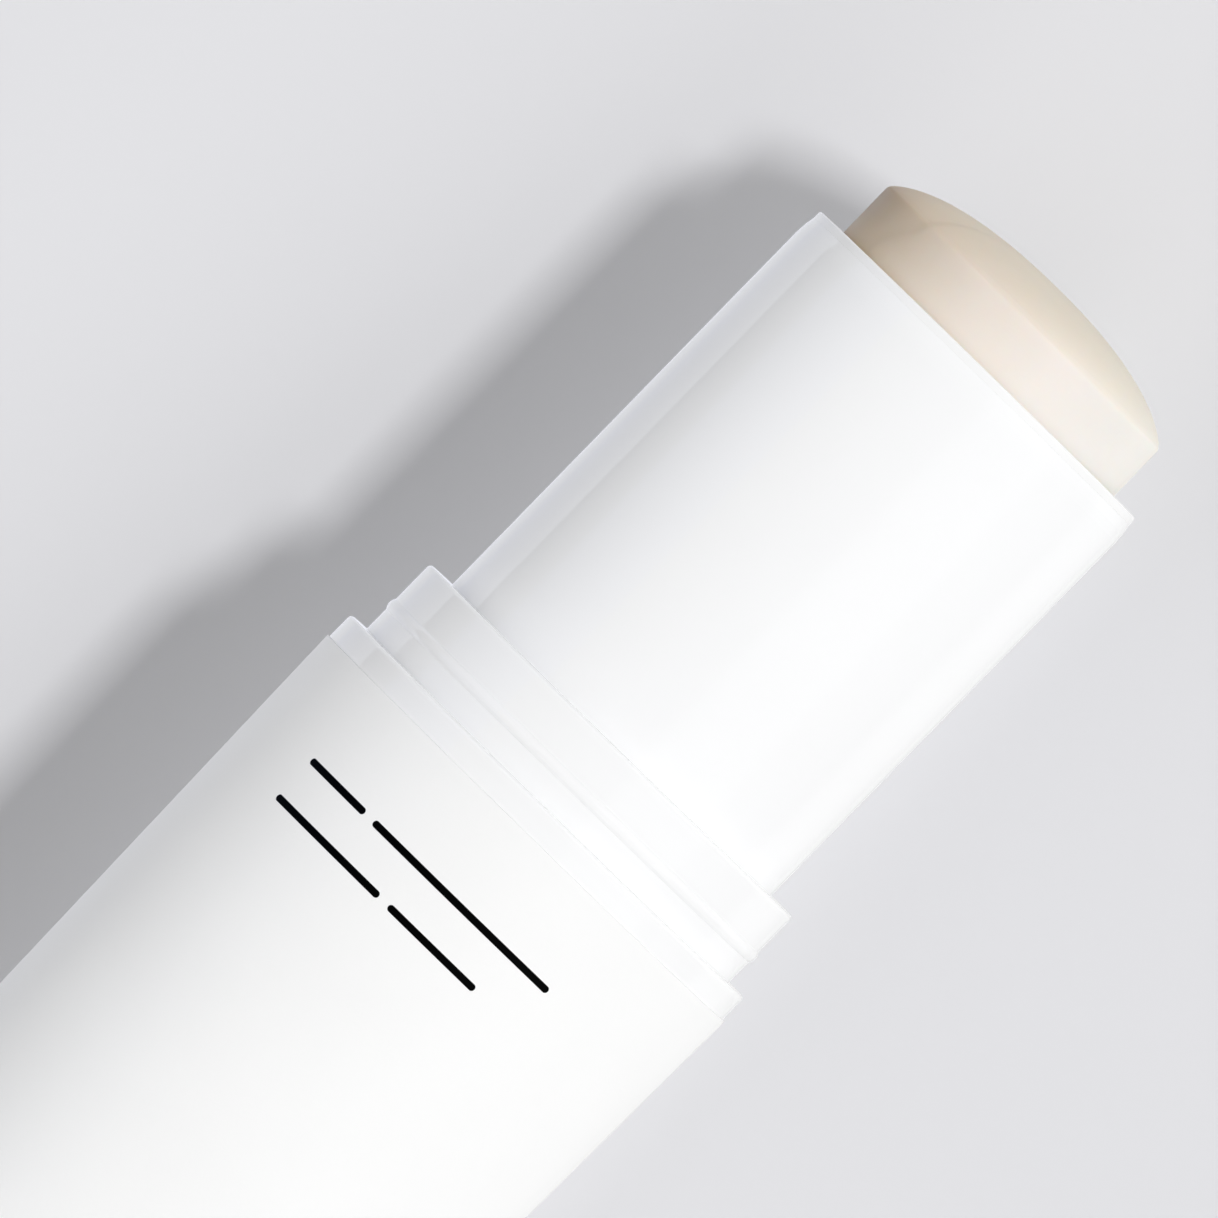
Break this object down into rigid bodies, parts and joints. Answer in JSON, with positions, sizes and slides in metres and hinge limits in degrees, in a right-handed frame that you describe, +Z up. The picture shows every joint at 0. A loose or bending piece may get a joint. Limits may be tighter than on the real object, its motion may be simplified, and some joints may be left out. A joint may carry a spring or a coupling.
{
  "type": "sunscreen stick",
  "caption": "Round twist-up sunscreen stick: a tapered base shell, a turning barrel with a collar for a cap, and a domed cream stick lifted by a lead screw.",
  "frame": {"origin": "centre of the foot ring's plane, where the closed base stands", "axes": "+Z up along the stick's axis, from the foot to the crown of the product; the front faces -Y"},
  "size_m": [0.036, 0.036, 0.0946],
  "materials": {
    "shell": "matte, warm white",
    "inner_base": "natural moulded white",
    "nut": "smooth moulded white",
    "ring": "soft grey",
    "barrel": "high gloss, cool white",
    "liner": "gloss, cool white",
    "cup": "smooth moulded white",
    "screw": "smooth moulded white",
    "product": "waxy cream"
  },
  "bodies": {
    "base": {"outer_shell": "shell", "inner_base": "inner_base", "drive_nut": "nut", "friction_ring": "ring"},
    "barrel": {"barrel": "barrel", "barrel_liner": "liner"},
    "lift": {"lift_cup": "cup", "lift_screw": "screw", "product_stick": "product"}
  },
  "joints": [
    {"name": "barrel_twist", "type": "hinge", "parent": "base", "child": "barrel", "pos_m": [0, 0, 0.0457], "axis": [0, 0, 1], "range_deg": [-648, 1692]},
    {"name": "product_lift", "type": "slide", "parent": "barrel", "child": "lift", "axis": [0, 0, 1], "range_m": [-0.00905, 0.02355]}
  ],
  "couplings": [
    {"joint": "product_lift", "follows": "barrel_twist", "m_per_rad": 0.00079577}
  ]
}
